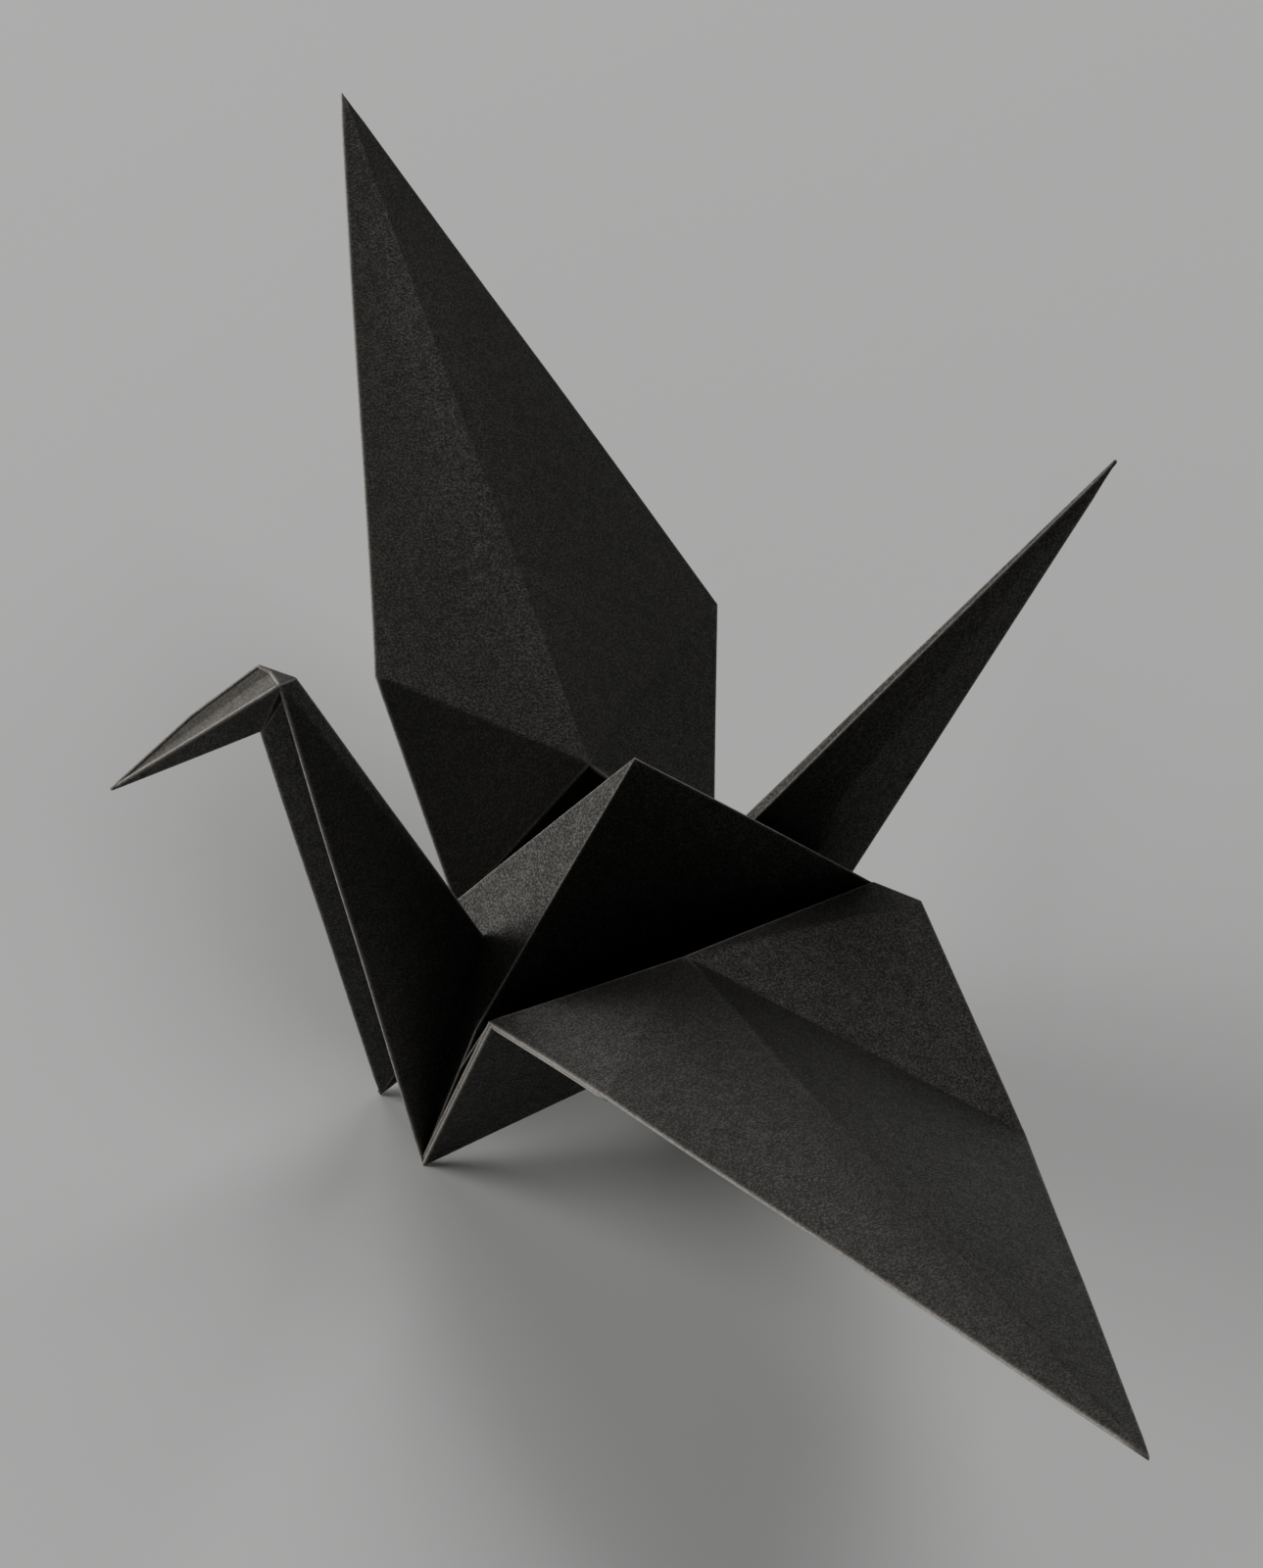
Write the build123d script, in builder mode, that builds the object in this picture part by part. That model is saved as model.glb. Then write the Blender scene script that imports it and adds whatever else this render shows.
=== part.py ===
"""Folded paper crane: one square sheet, folded and opened so that it stands on four corners.

X runs from the head (negative) to the tail (positive), Y from the near wing (negative) to the
far wing, Z is up. The origin is on the ground, under the middle of the length. Millimetres.
"""

from build123d import *
import os

os.makedirs("parts", exist_ok=True)

# The two sides of the middle plane
NEAR = -1
FAR = 1

# The paper, and the rounded edges where it is folded
PAPER = 0.16  # thickness of one layer
HALF = PAPER / 2
FLAP = 2 * PAPER  # the folded-back corners that line the sides and the wing roots
BEAD = 1.1 * PAPER  # radius of a fold with two layers on it
RIDGE_BEAD = 0.75 * PAPER  # radius of a fold with one layer on it
CREASE_BEAD = 0.55 * PAPER  # radius of a crease that runs through the top layer only
KNUCKLE = 1.03 * BEAD  # radius of the blunt point at a tip
SLIT_SHARE = 0.035  # how far two raw edges stand apart, as a share of the panel's width

# Points are (x, distance from the middle, z). Where the crane was opened unequally, a point
# differs between the near and the far side.

# The peaked back and the body sides
PEAK = (1.5, 0.0, 37.0)
RIDGE_FRONT = (-12.5, 5.3, 17.2)
RIDGE_BACK = {NEAR: (20.9, 5.3, 20.5), FAR: (13.0, 4.5, 15.5)}
FOOT_FRONT = {NEAR: (-15.6, 3.7, BEAD), FAR: (-16.2, 3.7, BEAD)}
FOOT_BACK = (10.9, 3.5, BEAD)
BELLY = (0.3, 6.4, 8.6)
DIP = (4.9, 7.5, 14.2)
DIP_SHARE = 0.3  # how far from the ridge's front end to the foot the dip comes out

# The wings
WING_MIDDLE = {NEAR: (2.1, 10.3, 25.0), FAR: (3.1, 10.3, 25.0)}
WING_TIP = {NEAR: (5.4, 71.8, 42.9), FAR: (6.4, 71.8, 43.0)}
WING_FRONT = (-10.0, 22.1, 28.0)
WING_BACK = {NEAR: (20.9, 31.1, 19.7), FAR: (22.1, 26.7, 20.2)}
ROOT_FRONT = {NEAR: (-12.5, 7.5, 20.5), FAR: (-8.6, 7.5, 15.7)}
ROOT_BACK = {NEAR: (23.3, 8.6, 20.9), FAR: (14.0, 8.6, 14.3)}

# The neck and head
NECK_ROOT = (-9.9, 0.0, 21.0)
NECK_TOP = (-25.8, 0.0, 55.8)
THROAT_TOP = (-27.9, 0.9, 50.4)
HEAD_EDGE = {NEAR: (-27.3, 0.95, 56.7), FAR: (-27.95, 1.4, 56.5)}
HEAD_VALLEY = (-27.35, 0.6, 56.45)
BROW = (-33.0, 1.1, 53.66)
CHIN = (-28.3, 0.0, 51.6)
BEAK = (-39.3, 0.0, 49.7)

# The tail
TAIL_ROOT = (11.0, 0.35, 24.7)
TAIL_BEND = (18.7, 1.5, 26.8)
TAIL_TIP = (39.3, 0.0, 55.2)


def at(point, side=FAR):
    """The point on one side of the middle plane."""
    x, y, z = point[side] if isinstance(point, dict) else point
    return Vector(x, side * y, z)


def share(start, end, part):
    """The point that lies a given part of the way from start to end."""
    return start + (end - start) * part


def facet(corners, over, under, side=NEAR):
    """A flat facet, so thick over its own plane and so thick under it.

    On the near side the corners run anticlockwise as seen from over the facet; the far side
    is its mirror image. A negative value leaves that much room for the layers in between.
    """
    first, second, third = corners
    along = second - first
    plane = Plane(origin=first, x_dir=along, z_dir=along.cross(third - first) * -side)
    with BuildPart() as plate:
        with BuildSketch(plane.offset(-under)):
            with BuildLine():
                Polyline(*[plane.to_local_coords(corner) for corner in corners], close=True)
            make_face()
        extrude(amount=over + under)
    return plate.part


def fold(start, end, radius=BEAD):
    """The rounded edge of a fold."""
    along = end - start
    with BuildPart() as bead:
        with BuildSketch(Plane(origin=start, z_dir=along)):
            Circle(radius)
        extrude(amount=along.length)
    return bead.part


def folds(creases, radius=BEAD):
    """The rounded edges of several folds."""
    return [fold(start, end, radius) for start, end in creases]


def knuckle(point, radius=KNUCKLE):
    """The blunt point where folds meet in a tip."""
    with BuildPart() as ball:
        with Locations(point):
            Sphere(radius)
    return ball.part


def wing(side):
    """One whole top layer, and below it two halves that meet in a slit and two lining flaps."""
    middle, tip = at(WING_MIDDLE, side), at(WING_TIP, side)
    front, back = at(WING_FRONT, side), at(WING_BACK, side)
    root_front, root_back = at(ROOT_FRONT, side), at(ROOT_BACK, side)
    slit_front = share(middle, front, SLIT_SHARE)
    slit_back = share(middle, back, SLIT_SHARE)
    lift = Vector(0, 0, HALF)
    outline = (middle, root_front, front, tip, back, root_back, middle)
    return [
        facet((middle, front, tip), PAPER, 0, side),
        facet((middle, tip, back), PAPER, 0, side),
        facet((slit_front, front, tip), 0, PAPER, side),
        facet((slit_back, tip, back), 0, PAPER, side),
        facet((middle, root_front, front), PAPER, PAPER + FLAP, side),
        facet((middle, back, root_back), PAPER, PAPER + FLAP, side),
        fold(middle + lift, tip + lift, CREASE_BEAD),
        *folds(zip(outline, outline[1:])),
        *folds(((middle, front), (middle, back))),
    ]


def body_side(side):
    """One side of the body, lined outside with two flaps that meet in a slit."""
    middle, belly = at(WING_MIDDLE, side), at(BELLY, side)
    foot_front, foot_back = at(FOOT_FRONT, side), at(FOOT_BACK, side)
    root_front, root_back = at(ROOT_FRONT, side), at(ROOT_BACK, side)
    slit_front = share(belly, foot_front, SLIT_SHARE)
    slit_back = share(belly, foot_back, SLIT_SHARE)
    outline = (root_front, foot_front, belly, foot_back, root_back)
    return [
        facet((root_front, foot_front, belly), PAPER, PAPER, side),
        facet((root_front, belly, middle), PAPER, PAPER, side),
        facet((middle, belly, root_back), PAPER, PAPER, side),
        facet((belly, foot_back, root_back), PAPER, PAPER, side),
        facet((root_front, foot_front, slit_front), PAPER + FLAP, -PAPER, side),
        facet((root_front, slit_front, middle), PAPER + FLAP, -PAPER, side),
        facet((middle, slit_back, root_back), PAPER + FLAP, -PAPER, side),
        facet((slit_back, foot_back, root_back), PAPER + FLAP, -PAPER, side),
        *folds(zip(outline, outline[1:])),
        knuckle(foot_front, BEAD),
        knuckle(foot_back, BEAD),
    ]


def back_half(side):
    """Half of the peaked back, the pocket between it and the wing root, and its inner wall."""
    peak, dip, belly = at(PEAK), at(DIP, side), at(BELLY, side)
    ridge_front, ridge_back = at(RIDGE_FRONT, side), at(RIDGE_BACK, side)
    foot_front, foot_back = at(FOOT_FRONT, side), at(FOOT_BACK, side)
    dip_front = share(ridge_front, foot_front, DIP_SHARE)
    neck_root, tail_root = at(NECK_ROOT), at(TAIL_ROOT, side)
    middle = at(WING_MIDDLE, side)
    root_front, root_back = at(ROOT_FRONT, side), at(ROOT_BACK, side)
    panels = (
        (peak, ridge_front, dip),
        (ridge_front, dip_front, dip),
        (peak, dip, ridge_back),
        (dip, dip_front, root_front),
        (dip, root_front, middle),
        (dip, middle, ridge_back),
        (dip, dip_front, belly),
        (dip_front, foot_front, belly),
        (dip, belly, ridge_back),
        (belly, foot_back, ridge_back),
        (peak, neck_root, ridge_front),
        (neck_root, foot_front, ridge_front),
        (peak, ridge_back, tail_root),
        (tail_root, ridge_back, foot_back),
    )
    creases = (
        (peak, ridge_front),
        (ridge_front, foot_front),
        (peak, ridge_back),
        (ridge_back, foot_back),
        (peak, dip),
    )
    pieces = [facet(corners, HALF, HALF, side) for corners in panels]
    pieces.append(facet((middle, root_back, ridge_back), PAPER, PAPER, side))
    pieces.append(fold(root_back, ridge_back))
    return pieces + folds(creases, RIDGE_BEAD)


def neck():
    """Two panels that meet in the spine and stand open along the throat."""
    root, top, throat = at(NECK_ROOT), at(NECK_TOP), at(THROAT_TOP)
    near_foot, far_foot = at(FOOT_FRONT, NEAR), at(FOOT_FRONT, FAR)
    head_near = at(HEAD_EDGE, NEAR)
    return [
        facet((root, head_near, near_foot), PAPER, PAPER),
        facet((root, top, head_near), PAPER, PAPER),
        facet((root, far_foot, throat), PAPER, PAPER),
        facet((root, throat, top), PAPER, PAPER),
        *folds(((root, top), (head_near, near_foot), (far_foot, throat))),
    ]


def head():
    """The end of the neck turned inside out: a channel, open on top, that runs to the beak."""
    edge_near, edge_far = at(HEAD_EDGE, NEAR), at(HEAD_EDGE, FAR)
    valley, brow, chin, beak = at(HEAD_VALLEY), at(BROW), at(CHIN), at(BEAK)
    top, throat = at(NECK_TOP), at(THROAT_TOP)
    panels = (
        (edge_near, valley, beak),
        (valley, edge_far, brow),
        (valley, brow, beak),
        (edge_near, beak, chin),
        (edge_far, chin, brow),
        (brow, chin, beak),
        (valley, edge_near, top),
        (valley, top, edge_far),
        (edge_near, chin, top),
        (edge_far, top, chin),
        (chin, throat, top),
    )
    creases = (
        (edge_near, beak),
        (edge_far, brow),
        (brow, beak),
        (chin, beak),
        (valley, beak),
        (edge_near, top),
        (edge_far, top),
        (chin, throat),
    )
    pieces = [facet(corners, HALF, HALF) for corners in panels]
    return pieces + folds(creases) + [knuckle(beak), knuckle(top)]


def tail():
    """Two bent panels that meet in a narrow spine and stand open below."""
    tip, peak = at(TAIL_TIP), at(PEAK)
    root_near, root_far = at(TAIL_ROOT, NEAR), at(TAIL_ROOT, FAR)
    pieces = [
        facet((root_near, tip, root_far), PAPER, PAPER),
        facet((peak, root_near, root_far), HALF, HALF),
        knuckle(tip),
    ]
    for side in (NEAR, FAR):
        root, bend, foot = at(TAIL_ROOT, side), at(TAIL_BEND, side), at(FOOT_BACK, side)
        pieces.append(facet((root, bend, tip), PAPER, PAPER, side))
        pieces.append(facet((bend, foot, tip), PAPER, PAPER, side))
        pieces.append(facet((root, foot, bend), PAPER, PAPER, side))
        pieces += folds(((root, tip), (bend, tip), (foot, tip)))
    return pieces


# The whole folded sheet
pieces = neck() + head() + tail()
for side in (NEAR, FAR):
    pieces += wing(side) + body_side(side) + back_half(side)
with BuildPart() as folded_sheet:
    add(pieces)
folded_sheet.part.label = "folded_sheet"
export_step(folded_sheet.part, "parts/folded_sheet.step")
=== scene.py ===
"""Looks of the folded paper crane: fine-grained black paper, folded into pressed leaves.

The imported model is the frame. Every piece is in metres, in the same frame: X runs from the
head to the tail, Y from the near wing to the far wing, Z is up, and the feet are at zero.
"""

import logging
import math
from dataclasses import dataclass, field
from enum import Enum
from typing import Any, Iterable

import bpy
from mathutils import Matrix, Vector, noise


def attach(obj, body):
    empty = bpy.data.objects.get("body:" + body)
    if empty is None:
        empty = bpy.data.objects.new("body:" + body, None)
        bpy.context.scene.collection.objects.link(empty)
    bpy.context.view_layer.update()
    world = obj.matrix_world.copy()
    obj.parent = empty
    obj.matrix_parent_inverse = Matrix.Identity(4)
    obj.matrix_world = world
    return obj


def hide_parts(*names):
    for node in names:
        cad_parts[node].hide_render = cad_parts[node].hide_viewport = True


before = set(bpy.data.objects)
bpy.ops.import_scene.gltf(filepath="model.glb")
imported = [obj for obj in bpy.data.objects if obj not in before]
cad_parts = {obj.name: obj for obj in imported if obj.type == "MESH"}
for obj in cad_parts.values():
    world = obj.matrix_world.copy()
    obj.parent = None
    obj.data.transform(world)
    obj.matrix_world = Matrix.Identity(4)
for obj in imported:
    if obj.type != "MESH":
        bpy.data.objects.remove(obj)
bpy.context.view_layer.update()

log = logging.getLogger("crane")

MM = 0.001
PAPER = 0.16 * MM
HALF = PAPER / 2
FLAP = 2 * PAPER
EVEN = 0.5  # what noise gives on average
MIDDLE_SHARE = 1 / 27  # the product of a point's three shares in the middle of a facet
Colour = tuple[float, float, float, float]
Corner = tuple[float, float, float]
Pair = tuple[Corner, Corner]
Triangle = tuple[Vector, Vector, Vector]


class Side(Enum):
    """The two wings' sides, with the sign of Y on each."""

    NEAR = -1
    FAR = 1


def place(corner: Corner | Pair, side: Side = Side.FAR) -> Vector:
    """Gives a corner's place on one side, in metres.

    Args:
        corner: Its x, its distance from the middle plane and its z, in millimetres, or one
            such corner for the near side and one for the far side.
        side: The side of the middle plane that it is on.

    Returns:
        The point in the frame.
    """
    if isinstance(corner[0], tuple):
        near, far = corner
        corner = near if side is Side.NEAR else far
    x, y, z = corner
    return Vector((x, side.value * y, z)) * MM


def facing(facets: list[Triangle], side: Side) -> list[Triangle]:
    """Orders the facets' corners so that the outer faces stay outside on either side."""
    return facets if side is Side.NEAR else [facet[::-1] for facet in facets]


class Level:
    """A number in a shader, so that shader maths reads as an expression."""

    def __init__(self, finish: "Finish", socket: bpy.types.NodeSocket) -> None:
        """Wraps an output socket of one of the finish's nodes."""
        self.finish = finish
        self.socket = socket

    def _math(self, operation: str, first: Any, second: Any, clamp: bool = False) -> "Level":
        """Adds a Math node.

        Args:
            operation: The node's operation.
            first: A Level or a number.
            second: A Level or a number.
            clamp: Whether the result is kept between 0 and 1.

        Returns:
            The node's result.
        """
        settings = {"operation": operation, "use_clamp": clamp}
        return self.finish.level("ShaderNodeMath", settings, {0: first, 1: second}, "Value")

    def __add__(self, other: Any) -> "Level":
        """Adds."""
        return self._math("ADD", self, other)

    def __radd__(self, other: Any) -> "Level":
        """Adds to a number."""
        return self._math("ADD", other, self)

    def __sub__(self, other: Any) -> "Level":
        """Subtracts."""
        return self._math("SUBTRACT", self, other)

    def __rsub__(self, other: Any) -> "Level":
        """Subtracts from a number."""
        return self._math("SUBTRACT", other, self)

    def __mul__(self, other: Any) -> "Level":
        """Multiplies."""
        return self._math("MULTIPLY", self, other)

    def __rmul__(self, other: Any) -> "Level":
        """Multiplies a number."""
        return self._math("MULTIPLY", other, self)

    def __pow__(self, other: Any) -> "Level":
        """Raises to a power."""
        return self._math("POWER", self, other)

    def __rpow__(self, other: Any) -> "Level":
        """Raises a number to this power."""
        return self._math("POWER", other, self)

    def held(self) -> "Level":
        """Keeps the number between 0 and 1."""
        return self._math("ADD", self, 0.0, clamp=True)


class Finish:
    """A material and the nodes that make it."""

    # The Mix node's colour sockets, which share their names with its number sockets
    SHARE_IN = 0
    FIRST_IN = 6
    SECOND_IN = 7
    MIXED_OUT = 2

    def __init__(self, name: str) -> None:
        """Starts an empty material, with a Principled shader.

        Args:
            name: The material's name.
        """
        self.material = bpy.data.materials.new(name)
        self.material.use_nodes = True
        self.tree = self.material.node_tree
        self.tree.nodes.clear()
        self.shader = self.node("ShaderNodeBsdfPrincipled")
        self.node("ShaderNodeOutputMaterial", values={"Surface": self.shader.outputs["BSDF"]})
        self.place = self.node("ShaderNodeTexCoord").outputs["Object"]

    def node(
        self,
        kind: str,
        settings: dict[str, Any] | None = None,
        values: dict[str | int, Any] | None = None,
    ) -> bpy.types.Node:
        """Adds a node.

        Args:
            kind: The node's type.
            settings: The node's own settings, set first.
            values: What each input socket holds: a value, a socket or a Level.

        Returns:
            The node.
        """
        made = self.tree.nodes.new(kind)
        for name, value in (settings or {}).items():
            setattr(made, name, value)
        self.feed(made, values or {})
        return made

    def feed(self, node: bpy.types.Node, values: dict[str | int, Any]) -> None:
        """Sets or links a node's input sockets.

        Args:
            node: The node.
            values: What each input socket holds: a value, a socket or a Level.
        """
        for name, value in values.items():
            socket = node.inputs[name]
            value = value.socket if isinstance(value, Level) else value
            if isinstance(value, bpy.types.NodeSocket):
                self.tree.links.new(value, socket)
            else:
                socket.default_value = value

    def level(
        self, kind: str, settings: dict[str, Any], values: dict[str | int, Any], out: str
    ) -> Level:
        """Adds a node and wraps its named output."""
        return Level(self, self.node(kind, settings, values).outputs[out])

    def grain(self, size: float, detail: float = 3.0, rough: float = 0.55) -> Level:
        """Adds cloudy noise.

        Args:
            size: The size of its patches, in metres.
            detail: How many finer octaves it has.
            rough: How strong the finer octaves are.

        Returns:
            A level around 0.5.
        """
        values = {"Vector": self.place, "Scale": 1 / size, "Detail": detail, "Roughness": rough}
        return self.level("ShaderNodeTexNoise", {}, values, "Fac")

    def blend(self, share: Level, first: Any, second: Any) -> bpy.types.NodeSocket:
        """Mixes two colours.

        Args:
            share: How much of the second colour shows.
            first: A colour or a colour socket.
            second: A colour or a colour socket.

        Returns:
            The mixed colour.
        """
        settings = {"data_type": "RGBA"}
        values = {self.SHARE_IN: share, self.FIRST_IN: first, self.SECOND_IN: second}
        return self.node("ShaderNodeMix", settings, values).outputs[self.MIXED_OUT]


@dataclass(frozen=True)
class BlackPaper:
    """Black craft paper: felt-like with a broad soft gloss, and pale along its folds: part rubbed
    wear, part painted highlight.
    """

    name: str = "black_paper"

    # Colours: between the fibres, on them, the pale of the folds (part rubbed wear, part painted
    # highlight), and of its gloss
    ground: Colour = (0.0010, 0.0009, 0.0008, 1.0)
    fibre: Colour = (0.0320, 0.0310, 0.0280, 1.0)
    rubbed_and_highlight: Colour = (0.42, 0.395, 0.355, 1.0)
    sheen: Colour = (1.0, 0.97, 0.90, 1.0)

    # Grain: the fibres, small blotches and wide clouds, with each one's weight in the colour
    felt_size: float = 0.18 * MM
    felt_detail: float = 2.5
    felt_rough: float = 0.7
    blotch_size: float = 1.1 * MM
    cloud_size: float = 11 * MM
    felt_contrast: float = 8.0
    blotch_contrast: float = 1.3
    cloud_contrast: float = 0.5
    fibre_share: float = 0.15

    # Relief: its depth, and each grain's weight in it
    felt_depth: float = 0.065 * MM
    felt_height: float = 0.8
    blotch_height: float = 0.2

    # Wear and painted highlight: how late the pale mark sets in towards a fold's edge, and what
    # it takes of each grain
    wear_and_highlight_onset: float = 1.8
    least_wear_and_highlight: float = 0.05
    felt_wear_and_highlight: float = 1.2
    blotch_wear_and_highlight: float = 0.4

    # Gloss: its strength and spread, and how the fibres and the folds change the spread
    gloss: float = 0.46
    roughness: float = 0.57
    fibre_gloss: float = 0.14
    fold_roughness: float = 0.05

    def make(self) -> bpy.types.Material:
        """Builds the paper's material.

        Returns:
            The material.
        """
        finish = Finish(self.name)
        felt = finish.grain(self.felt_size, self.felt_detail, self.felt_rough)
        blotches = finish.grain(self.blotch_size)
        clouds = finish.grain(self.cloud_size)
        fold = finish.level(
            "ShaderNodeAttribute", {"attribute_name": FoldedSheet.FOLD_MARK}, {}, "Fac"
        )
        texture = (
            (felt - EVEN) * self.felt_contrast
            + (blotches - EVEN) * self.blotch_contrast
            + (clouds - EVEN) * self.cloud_contrast
        )
        # The pale mark: rubbed wear along the folds and on the head, together with a painted
        # highlight on the fold rims and the head's channel
        wear_and_highlight_grain = self.least_wear_and_highlight + felt * self.felt_wear_and_highlight + blotches * self.blotch_wear_and_highlight
        wear_and_highlight = (fold**self.wear_and_highlight_onset * wear_and_highlight_grain).held()
        colour = finish.blend((self.fibre_share + texture).held(), self.ground, self.fibre)
        colour = finish.blend(wear_and_highlight, colour, self.rubbed_and_highlight)
        height = felt * self.felt_height + blotches * self.blotch_height
        bump = finish.node(
            "ShaderNodeBump",
            values={"Strength": 1.0, "Distance": self.felt_depth, "Height": height},
        )
        finish.feed(
            finish.shader,
            {
                "Base Color": colour,
                "Roughness": (
                    self.roughness - texture * self.fibre_gloss + fold * self.fold_roughness
                ).held(),
                "Specular IOR Level": self.gloss,
                "Specular Tint": self.sheen,
                "Normal": bump.outputs["Normal"],
            },
        )
        return finish.material


@dataclass(frozen=True)
class PaleCard:
    """The pale, matte studio floor."""

    name: str = "pale_floor"
    colour: Colour = (0.80, 0.80, 0.79, 1.0)
    roughness: float = 0.9
    gloss: float = 0.2

    def make(self) -> bpy.types.Material:
        """Builds the floor's material.

        Returns:
            The material.
        """
        finish = Finish(self.name)
        finish.feed(
            finish.shader,
            {
                "Base Color": self.colour,
                "Roughness": self.roughness,
                "Specular IOR Level": self.gloss,
            },
        )
        return finish.material


@dataclass
class Leaf:
    """One stiff leaf of pressed paper: flat facets that meet in soft creases.

    The corners of each facet run anticlockwise as seen from over the leaf. The first few
    facets, as many as swelling says, bow outward by the swell. How pale its faces are
    painted, part rubbed wear and part painted highlight, is given as a fold mark.
    """

    facets: list[Triangle]
    half: float = PAPER
    shift: float = 0.0
    swell: float = 0.0
    swelling: int = 0
    rubbed_and_highlight: float = 0.0


@dataclass
class Skin:
    """The points and faces of the whole sheet as they are put together."""

    points: list[Vector] = field(default_factory=list)
    marks: list[float] = field(default_factory=list)
    faces: list[tuple[int, ...]] = field(default_factory=list)

    def add(self, point: Vector, mark: float) -> int:
        """Adds a point.

        Args:
            point: Its place, in metres.
            mark: How pale it is painted, part rubbed wear and part painted highlight, from 0 to
                1.

        Returns:
            The point's number.
        """
        self.points.append(point)
        self.marks.append(mark)
        return len(self.points) - 1


@dataclass
class LeafMesher:
    """Turns a leaf into a closed skin: two faces of fine grid and a rounded rim."""

    skin: Skin
    cells: int = 18
    band: float = 0.22 * MM
    rim_steps: int = 4
    inner_share: float = 0.3
    # How pale the edges of free rims are painted: part rubbed wear, part painted highlight
    brow_mark: float = 0.42
    least_cosine: float = 0.6

    # What belongs to the leaf in hand, by facet, edge or place
    leaf: Leaf = field(init=False)
    normals: list[Vector] = field(init=False)
    users: dict[tuple, list[int]] = field(init=False)
    corner_users: dict[tuple, list[int]] = field(init=False)
    outward: dict[tuple, Vector] = field(init=False)

    # The side of the leaf in hand, over it or under it, and the edge points made there
    face: int = field(init=False)
    made: dict[tuple, int] = field(init=False)
    top: dict[tuple, int] = field(init=False)

    def build(self, leaf: Leaf) -> None:
        """Adds a leaf to the skin.

        Args:
            leaf: The leaf.
        """
        self.leaf = leaf
        self.normals = [self._normal(facet) for facet in leaf.facets]
        self.users = {}
        self.corner_users = {}
        for number, facet in enumerate(leaf.facets):
            for start, end in zip(facet, facet[1:] + facet[:1]):
                self.users.setdefault(self._edge(start, end), []).append(number)
            for corner in facet:
                self.corner_users.setdefault(self._key(corner), []).append(number)
        self.outward = {}
        for number, facet in enumerate(leaf.facets):
            for start, end in zip(facet, facet[1:] + facet[:1]):
                if len(self.users[self._edge(start, end)]) == 1:
                    out = (end - start).cross(self.normals[number]).normalized()
                    for corner in (start, end):
                        key = self._key(corner)
                        self.outward[key] = self.outward.get(key, Vector()) + out
        for face in (1, -1):
            self.face = face
            self.made = {}
            for number, facet in enumerate(leaf.facets):
                self._fill(number, facet)
            if face == 1:
                self.top = self.made
        self._close_rim()

    @staticmethod
    def _normal(facet: Triangle) -> Vector:
        """The facet's outward direction."""
        first, second, third = facet
        return (second - first).cross(third - first).normalized()

    @staticmethod
    def _key(point: Vector) -> tuple[float, ...]:
        """A name for a place, the same for all facets that share it."""
        return tuple(round(value / MM, 3) for value in point)

    def _edge(self, start: Vector, end: Vector) -> tuple:
        """A name for an edge, whichever way it runs."""
        return tuple(sorted((self._key(start), self._key(end))))

    def _lift(self, users: Iterable[int]) -> Vector:
        """The direction in which a shared point is lifted, longer where the facets bend.

        Args:
            users: The numbers of the facets that share the point.

        Returns:
            The direction, as long as it takes to keep the leaf's thickness.
        """
        normals = [self.normals[number] for number in set(users)]
        total = sum(normals, Vector()).normalized()
        least = min(total.dot(normal) for normal in normals)
        return total / max(least, self.least_cosine)

    def _on_edge(self, start: Vector, end: Vector, step: int) -> int:
        """Gives the number of a point along an edge, and makes it where it is new.

        Args:
            start: The edge's first corner in this facet.
            end: Its second corner.
            step: How many cells the point is from the first corner.

        Returns:
            The point's number in the skin.
        """
        place_on = start.lerp(end, step / self.cells)
        name = self._key(place_on)
        if name not in self.made:
            corner = step in (0, self.cells)
            users = self.corner_users[name] if corner else self.users[self._edge(start, end)]
            offset = self.leaf.shift + self.face * self.leaf.half
            free = name in self.outward if corner else len(users) == 1
            point = place_on + self._lift(users) * offset
            # Free edges are painted pale with wear and a painted highlight; other points take the
            # leaf's own pale
            mark = self.brow_mark if free else self.leaf.rubbed_and_highlight
            self.made[name] = self.skin.add(point, mark)
        return self.made[name]

    def _inset(self, facet: Triangle) -> Triangle:
        """The facet's inner triangle, a band's width inside each edge.

        Args:
            facet: The facet.

        Returns:
            The inner triangle.
        """
        first, second, third = facet
        sides = [(third - second).length, (first - third).length, (second - first).length]
        around = sum(sides)
        height = (second - first).cross(third - first).length / around
        centre = (first * sides[0] + second * sides[1] + third * sides[2]) / around
        share = min(self.band / height, self.inner_share)
        return tuple(corner.lerp(centre, share) for corner in facet)

    def _fill(self, number: int, facet: Triangle) -> None:
        """Adds one facet's grid and the bands that join it to its edges.

        Args:
            number: The facet's number in the leaf.
            facet: The facet.
        """
        cells = self.cells
        inner = self._inset(facet)
        normal = self.normals[number]
        offset = self.leaf.shift + self.face * self.leaf.half
        swell = self.leaf.swell if number < self.leaf.swelling else 0.0
        grid: dict[tuple[int, int], int] = {}
        for row in range(cells + 1):
            for column in range(cells + 1 - row):
                second, third = column / cells, row / cells
                first = 1 - second - third
                bulge = first * second * third / MIDDLE_SHARE * swell
                middle = inner[0] * first + inner[1] * second + inner[2] * third
                raised = middle + normal * (offset + bulge)
                grid[row, column] = self.skin.add(raised, self.leaf.rubbed_and_highlight)
        for row in range(cells):
            for column in range(cells - row):
                here, right, up = grid[row, column], grid[row, column + 1], grid[row + 1, column]
                self._face(here, right, up)
                if column < cells - row - 1:
                    self._face(right, grid[row + 1, column + 1], up)
        edges = (
            (facet[0], facet[1], [grid[0, step] for step in range(cells + 1)]),
            (facet[1], facet[2], [grid[step, cells - step] for step in range(cells + 1)]),
            (facet[2], facet[0], [grid[cells - step, 0] for step in range(cells + 1)]),
        )
        for start, end, inside in edges:
            outside = [self._on_edge(start, end, step) for step in range(cells + 1)]
            for step in range(cells):
                self._face(outside[step], outside[step + 1], inside[step + 1], inside[step])

    def _face(self, *numbers: int) -> None:
        """Adds a face, turned over on the leaf's under side."""
        self.skin.faces.append(numbers if self.face == 1 else numbers[::-1])

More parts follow.
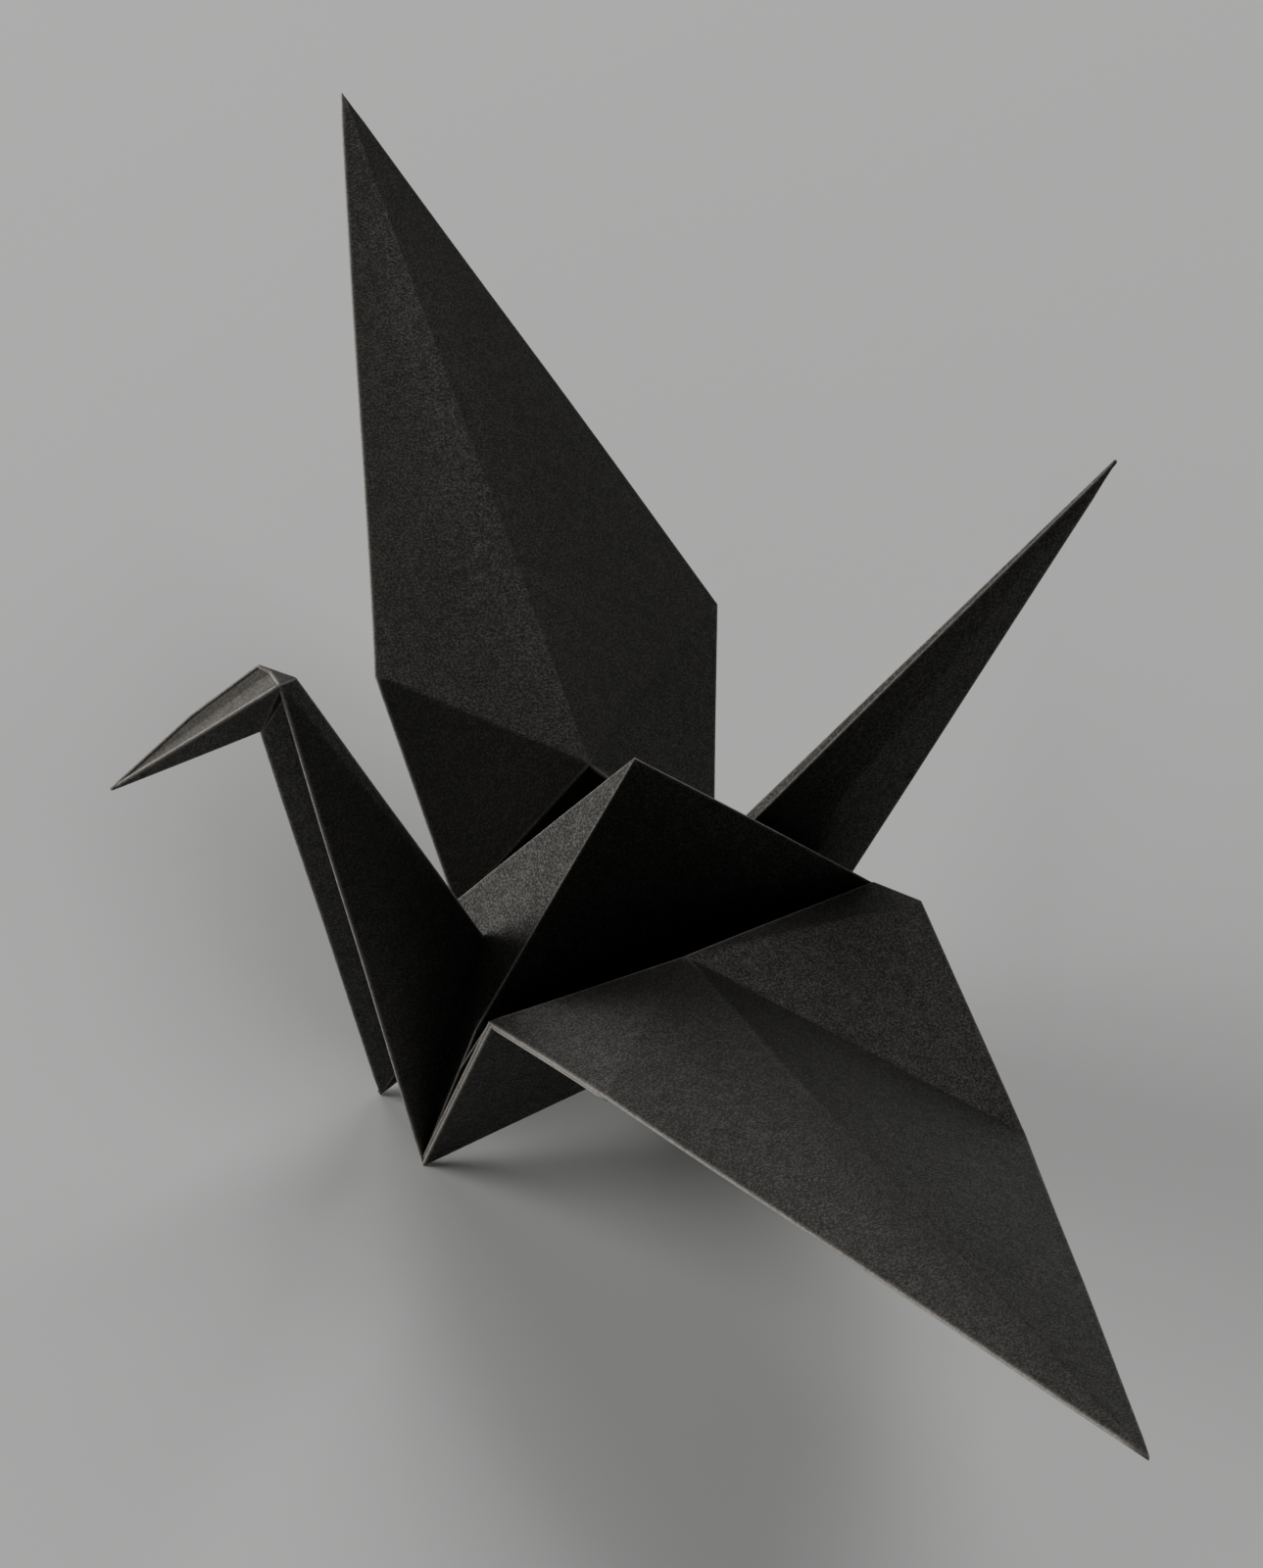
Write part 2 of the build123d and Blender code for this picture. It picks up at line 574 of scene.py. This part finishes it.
    def _close_rim(self) -> None:
        """Joins the two faces with a half-round rim along every free edge."""
        leaf, under = self.leaf, self.made
        rows: dict[tuple, list[int]] = {}
        for number, facet in enumerate(leaf.facets):
            for start, end in zip(facet, facet[1:] + facet[:1]):
                if len(self.users[self._edge(start, end)]) > 1:
                    continue
                out = (end - start).cross(self.normals[number]).normalized()
                columns = []
                for step in range(self.cells + 1):
                    middle = start.lerp(end, step / self.cells)
                    name = self._key(middle)
                    if name not in rows:
                        away = self.outward[name].normalized() if name in self.outward else out
                        users = self.corner_users.get(name, [number])
                        rows[name] = self._rim(name, middle, away, self._lift(users), under)
                    columns.append(rows[name])
                for left, right in zip(columns, columns[1:]):
                    for low in range(self.rim_steps):
                        self.skin.faces.append(
                            (left[low], left[low + 1], right[low + 1], right[low])
                        )

    def _rim(
        self, name: tuple, middle: Vector, away: Vector, lift: Vector, under: dict[tuple, int]
    ) -> list[int]:
        """Makes the half-round row of points from the leaf's top to its under side.

        Args:
            name: The edge point's name.
            middle: The edge point.
            away: The direction out of the leaf.
            lift: The direction over the leaf.
            under: The numbers of the under side's points.

        Returns:
            The row's numbers, from the top down.
        """
        half = self.leaf.half
        centre = middle + lift * self.leaf.shift
        row = [self.top[name]]
        for step in range(1, self.rim_steps):
            angle = math.pi * step / self.rim_steps
            around = away * math.sin(angle) + lift * math.cos(angle)
            # The rim is painted palest at its outer middle: a painted highlight along the rounded
            # fold, with wear
            mark = self.brow_mark + (1 - self.brow_mark) * math.sin(angle)
            row.append(self.skin.add(centre + around * half, mark))
        return row + [under[name]]


@dataclass
class FoldedSheet:
    """The whole crane, folded from one sheet.

    Corners are x, distance from the middle plane and z, in millimetres. Where the crane was
    opened unequally, a corner is given for each side.
    """

    FOLD_MARK = "fold_mark"

    # The peaked back and the body sides
    peak: Corner = (1.5, 0.0, 37.0)
    ridge_front: Corner = (-12.5, 5.3, 17.2)
    ridge_back: Pair = ((20.9, 5.3, 20.5), (13.0, 4.5, 15.5))
    foot_front: Pair = ((-15.6, 3.7, 0.18), (-16.2, 3.7, 0.18))
    foot_back: Corner = (10.9, 3.5, 0.18)
    belly: Corner = (0.3, 6.4, 8.6)
    dip: Corner = (4.9, 7.5, 14.2)
    dip_share: float = 0.3
    slit_share: float = 0.035

    # The wings
    wing_middle: Pair = ((2.1, 10.3, 25.0), (3.1, 10.3, 25.0))
    wing_tip: Pair = ((5.4, 71.8, 42.9), (6.4, 71.8, 43.0))
    wing_front: Corner = (-10.0, 22.1, 28.0)
    wing_back: Pair = ((20.9, 31.1, 19.7), (22.1, 26.7, 20.2))
    root_front: Pair = ((-12.5, 7.5, 20.5), (-8.6, 7.5, 15.7))
    root_back: Pair = ((23.3, 8.6, 20.9), (14.0, 8.6, 14.3))

    # The neck and the head
    neck_root: Corner = (-9.9, 0.0, 21.0)
    neck_top: Corner = (-25.8, 0.0, 55.8)
    throat_top: Corner = (-27.9, 0.9, 50.4)
    head_edge: Pair = ((-27.3, 0.95, 56.7), (-27.95, 1.4, 56.5))
    head_valley: Corner = (-27.35, 0.6, 56.45)
    brow: Corner = (-33.0, 1.1, 53.66)
    chin: Corner = (-28.3, 0.0, 51.6)
    beak: Corner = (-39.3, 0.0, 49.7)

    # The tail
    tail_root: Corner = (11.0, 0.35, 24.7)
    tail_bend: Corner = (18.7, 1.5, 26.8)
    tail_tip: Corner = (39.3, 0.0, 55.2)

    # How far the panels bow, and the slow unevenness of the paper
    swell: float = 0.35 * MM
    sway: float = 0.10 * MM
    sway_size: float = 22 * MM
    sway_seed: int = 3
    still_height: float = 8 * MM

    # How pale the head's channel and its crown are painted: a painted highlight, with some rubbed
    # wear
    head_rub_and_highlight: float = 0.55
    crown_rub_and_highlight: float = 0.38

    def wing(self, side: Side) -> list[Leaf]:
        """The wing's leaf, and below its root the two lining flaps.

        Args:
            side: The side of the middle plane.

        Returns:
            The leaves.
        """
        middle, tip = place(self.wing_middle, side), place(self.wing_tip, side)
        front, back = place(self.wing_front, side), place(self.wing_back, side)
        root_front, root_back = place(self.root_front, side), place(self.root_back, side)
        ridge_back = place(self.ridge_back, side)
        blade = [(middle, front, tip), (middle, tip, back)]
        roots = [(middle, root_front, front), (middle, back, root_back)]
        tuck = [(middle, root_back, ridge_back)]
        return [
            Leaf(facing(blade + roots + tuck, side), swell=self.swell, swelling=len(blade)),
            Leaf(facing(roots[:1], side), shift=-FLAP),
            Leaf(facing(roots[1:], side), shift=-FLAP),
        ]

    def body_side(self, side: Side) -> list[Leaf]:
        """One side of the body and the two flaps that line it outside.

        Args:
            side: The side of the middle plane.

        Returns:
            The leaves.
        """
        sunk = Vector((0, 0, -HALF))
        middle, belly = place(self.wing_middle, side) + sunk, place(self.belly, side)
        foot_front, foot_back = place(self.foot_front, side), place(self.foot_back, side)
        root_front = place(self.root_front, side) + sunk
        root_back = place(self.root_back, side) + sunk
        slit_front = belly.lerp(foot_front, self.slit_share)
        slit_back = belly.lerp(foot_back, self.slit_share)
        wall = [
            (root_front, foot_front, belly),
            (root_front, belly, middle),
            (middle, belly, root_back),
            (belly, foot_back, root_back),
        ]
        front_flap = [
            (root_front, foot_front, slit_front),
            (root_front, slit_front, middle),
        ]
        back_flap = [
            (middle, slit_back, root_back),
            (slit_back, foot_back, root_back),
        ]
        return [
            Leaf(facing(wall, side)),
            Leaf(facing(front_flap, side), shift=FLAP),
            Leaf(facing(back_flap, side), shift=FLAP),
        ]

    def back_half(self, side: Side) -> list[Leaf]:
        """Half of the peaked back, the pocket under the wing root and its inner wall.

        Args:
            side: The side of the middle plane.

        Returns:
            The leaves.
        """
        peak, dip, belly = place(self.peak), place(self.dip, side), place(self.belly, side)
        ridge_front, ridge_back = place(self.ridge_front, side), place(self.ridge_back, side)
        foot_front, foot_back = place(self.foot_front, side), place(self.foot_back, side)
        dip_front = ridge_front.lerp(foot_front, self.dip_share)
        middle, root_front = place(self.wing_middle, side), place(self.root_front, side)
        slope = [
            (peak, ridge_front, dip),
            (ridge_front, dip_front, dip),
            (peak, dip, ridge_back),
        ]
        pocket = [
            (dip, dip_front, root_front),
            (dip, root_front, middle),
            (dip, middle, ridge_back),
        ]
        inner_wall = [
            (dip, dip_front, belly),
            (dip_front, foot_front, belly),
            (dip, belly, ridge_back),
            (belly, foot_back, ridge_back),
        ]
        return [
            Leaf(facing(slope, side), half=HALF, swell=self.swell / 2, swelling=len(slope)),
            Leaf(facing(pocket, side), half=HALF),
            Leaf(facing(inner_wall, side), half=HALF),
        ]

    def gussets(self) -> list[Leaf]:
        """The front and back of the body, below the neck's and the tail's root.

        Returns:
            The leaves.
        """
        peak, neck_root = place(self.peak), place(self.neck_root)
        front: list[Triangle] = []
        back: list[Triangle] = []
        for side in Side:
            ridge_front, ridge_back = place(self.ridge_front, side), place(self.ridge_back, side)
            foot_front, foot_back = place(self.foot_front, side), place(self.foot_back, side)
            tail_root = place(self.tail_root, side)
            front += facing(
                [(peak, neck_root, ridge_front), (neck_root, foot_front, ridge_front)], side
            )
            back += facing(
                [(peak, ridge_back, tail_root), (tail_root, ridge_back, foot_back)], side
            )
        root_near, root_far = place(self.tail_root, Side.NEAR), place(self.tail_root, Side.FAR)
        back.append((peak, root_near, root_far))
        return [Leaf(front, half=HALF), Leaf(back, half=HALF)]

    def neck(self) -> list[Leaf]:
        """Two panels that meet in the spine and stand open along the throat.

        Returns:
            The leaves.
        """
        root, top, throat = place(self.neck_root), place(self.neck_top), place(self.throat_top)
        near_foot = place(self.foot_front, Side.NEAR)
        far_foot = place(self.foot_front, Side.FAR)
        head = place(self.head_edge, Side.NEAR)
        return [
            Leaf([(root, head, near_foot), (root, top, head)]),
            Leaf([(root, far_foot, throat), (root, throat, top)]),
        ]

    def head(self) -> list[Leaf]:
        """The end of the neck turned inside out, a channel that runs to the beak.

        Returns:
            The leaves.
        """
        edge_near = place(self.head_edge, Side.NEAR)
        edge_far = place(self.head_edge, Side.FAR)
        valley, brow, beak = place(self.head_valley), place(self.brow), place(self.beak)
        chin, top, throat = place(self.chin), place(self.neck_top), place(self.throat_top)
        channel = [
            (edge_near, valley, beak),
            (valley, edge_far, brow),
            (valley, brow, beak),
        ]
        # The channel and the crown are painted pale: a painted highlight, with some rubbed wear
        return [
            Leaf(channel, half=HALF, rubbed_and_highlight=self.head_rub_and_highlight),
            Leaf([(edge_near, beak, chin)]),
            Leaf([(edge_far, chin, brow), (brow, chin, beak)]),
            Leaf([(valley, edge_near, top), (valley, top, edge_far)], rubbed_and_highlight=self.crown_rub_and_highlight),
            Leaf([(edge_near, chin, top)], half=HALF),
            Leaf([(edge_far, top, chin)], half=HALF),
            Leaf([(chin, throat, top)], half=HALF),
        ]

    def tail(self) -> list[Leaf]:
        """Two bent panels that meet in a narrow spine and stand open below.

        Returns:
            The leaves.
        """
        tip = place(self.tail_tip)
        root_near, root_far = place(self.tail_root, Side.NEAR), place(self.tail_root, Side.FAR)
        leaves = [Leaf([(root_near, tip, root_far)])]
        for side in Side:
            root, bend = place(self.tail_root, side), place(self.tail_bend, side)
            foot = place(self.foot_back, side)
            panel = [(root, bend, tip), (bend, foot, tip), (root, foot, bend)]
            leaves.append(Leaf(facing(panel, side)))
        return leaves

    def _sway(self, point: Vector) -> Vector:
        """Moves a point by the paper's slow unevenness, which dies out towards the feet."""
        free = min(max(point.z / self.still_height, 0.0), 1.0)
        return point + noise.noise_vector(point / self.sway_size) * self.sway * free

    def build(self, paper: bpy.types.Material) -> bpy.types.Object:
        """Builds the whole sheet as one piece.

        Args:
            paper: The paper's material.

        Returns:
            The dressed piece.
        """
        skin = Skin()
        mesher = LeafMesher(skin)
        leaves = self.neck() + self.head() + self.gussets() + self.tail()
        for side in Side:
            leaves += self.wing(side) + self.body_side(side) + self.back_half(side)
        for leaf in leaves:
            mesher.build(leaf)
        noise.seed_set(self.sway_seed)
        mesh = bpy.data.meshes.new("folded_paper")
        mesh.from_pydata([self._sway(point) for point in skin.points], [], skin.faces)
        mark = mesh.attributes.new(self.FOLD_MARK, "FLOAT", "POINT")
        mark.data.foreach_set("value", skin.marks)
        mesh.shade_smooth()
        mesh.materials.append(paper)
        piece = bpy.data.objects.new("folded_paper", mesh)
        bpy.context.scene.collection.objects.link(piece)
        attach(piece, "root")
        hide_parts("folded_sheet")
        return piece


@dataclass(frozen=True)
class Lamp:
    """A soft square lamp: its name, its place in metres and its power in watts."""

    name: str
    where: Corner
    power: float


@dataclass
class Studio:
    """The floor, the lights and the camera. Lengths are in metres and angles in degrees."""

    lamps: tuple[Lamp, ...] = (
        Lamp("side_lamp", (-1.15, 0.67, 0.45), 15.0),
        Lamp("back_lamp", (0.70, 0.40, 1.17), 6.5),
        Lamp("low_lamp", (0.0, 1.33, 0.45), 6.2),
        Lamp("fill_lamp", (-0.67, -1.15, 0.45), 1.0),
    )
    lamp_size: float = 0.80
    aim: Corner = (0.0, 0.0, 0.02)
    room_colour: Colour = (0.93, 0.95, 1.0, 1.0)
    room_strength: float = 0.02

    # The camera, fitted to the photograph
    azimuth: float = 28.5
    elevation: float = 48.0
    roll: float = -6.0
    eye: Corner = (-0.10633, -0.19863, 0.28518)
    sensor: float = 36.0
    focal_pixels: float = 4600.0
    long_side_pixels: float = 1600.0
    nearest: float = 0.01

    floor_size: float = 6.0

    def floor(self, card: bpy.types.Material) -> bpy.types.Object:
        """Lays the pale floor under the feet.

        Args:
            card: The floor's material.

        Returns:
            The floor.
        """
        reach = self.floor_size / 2
        corners = [(-reach, -reach, 0), (reach, -reach, 0), (reach, reach, 0), (-reach, reach, 0)]
        mesh = bpy.data.meshes.new("studio_floor")
        mesh.from_pydata(corners, [], [(0, 1, 2, 3)])
        mesh.materials.append(card)
        floor = bpy.data.objects.new("studio_floor", mesh)
        bpy.context.scene.collection.objects.link(floor)
        return floor

    def hang(self, lamp: Lamp) -> None:
        """Hangs a lamp that faces the crane.

        Args:
            lamp: The lamp.
        """
        light = bpy.data.lights.new(lamp.name, "AREA")
        light.energy = lamp.power
        light.size = self.lamp_size
        hung = bpy.data.objects.new(lamp.name, light)
        hung.location = lamp.where
        ahead = Vector(self.aim) - hung.location
        hung.rotation_euler = ahead.to_track_quat("-Z", "Y").to_euler()
        bpy.context.scene.collection.objects.link(hung)

    def lights(self) -> None:
        """Hangs the lamps and fills the room with soft light."""
        for lamp in self.lamps:
            self.hang(lamp)
        world = bpy.data.worlds.new("soft_room")
        world.use_nodes = True
        room = world.node_tree.nodes["Background"]
        room.inputs["Color"].default_value = self.room_colour
        room.inputs["Strength"].default_value = self.room_strength
        bpy.context.scene.world = world

    def camera(self) -> bpy.types.Object:
        """Sets the camera at the photograph's viewing angle.

        Returns:
            The camera.
        """
        azimuth = math.radians(self.azimuth)
        elevation = math.radians(self.elevation)
        roll = math.radians(self.roll)
        level = math.cos(elevation)
        ahead = Vector(
            (math.sin(azimuth) * level, math.cos(azimuth) * level, -math.sin(elevation))
        )
        right = ahead.cross(Vector((0, 0, 1))).normalized()
        down = ahead.cross(right)
        turned_right = right * math.cos(roll) + down * math.sin(roll)
        turned_down = down * math.cos(roll) - right * math.sin(roll)
        lens = bpy.data.cameras.new("camera")
        lens.sensor_width = self.sensor
        lens.lens = self.focal_pixels / self.long_side_pixels * self.sensor
        lens.clip_start = self.nearest
        camera = bpy.data.objects.new("camera", lens)
        turn = Matrix((turned_right, -turned_down, -ahead)).transposed().to_4x4()
        camera.matrix_world = Matrix.Translation(self.eye) @ turn
        bpy.context.scene.collection.objects.link(camera)
        bpy.context.scene.camera = camera
        return camera


def main() -> None:
    """Builds the crane and the studio around it."""
    logging.basicConfig(level=logging.INFO)
    crane = FoldedSheet().build(BlackPaper().make())
    log.info("%s: %d faces", crane.name, len(crane.data.polygons))
    studio = Studio()
    floor = studio.floor(PaleCard().make())
    log.info("%s: %.1f m wide", floor.name, studio.floor_size)
    studio.lights()
    camera = studio.camera()
    log.info("%s: %.1f mm lens", camera.name, camera.data.lens)


if __name__ == "__main__":
    main()
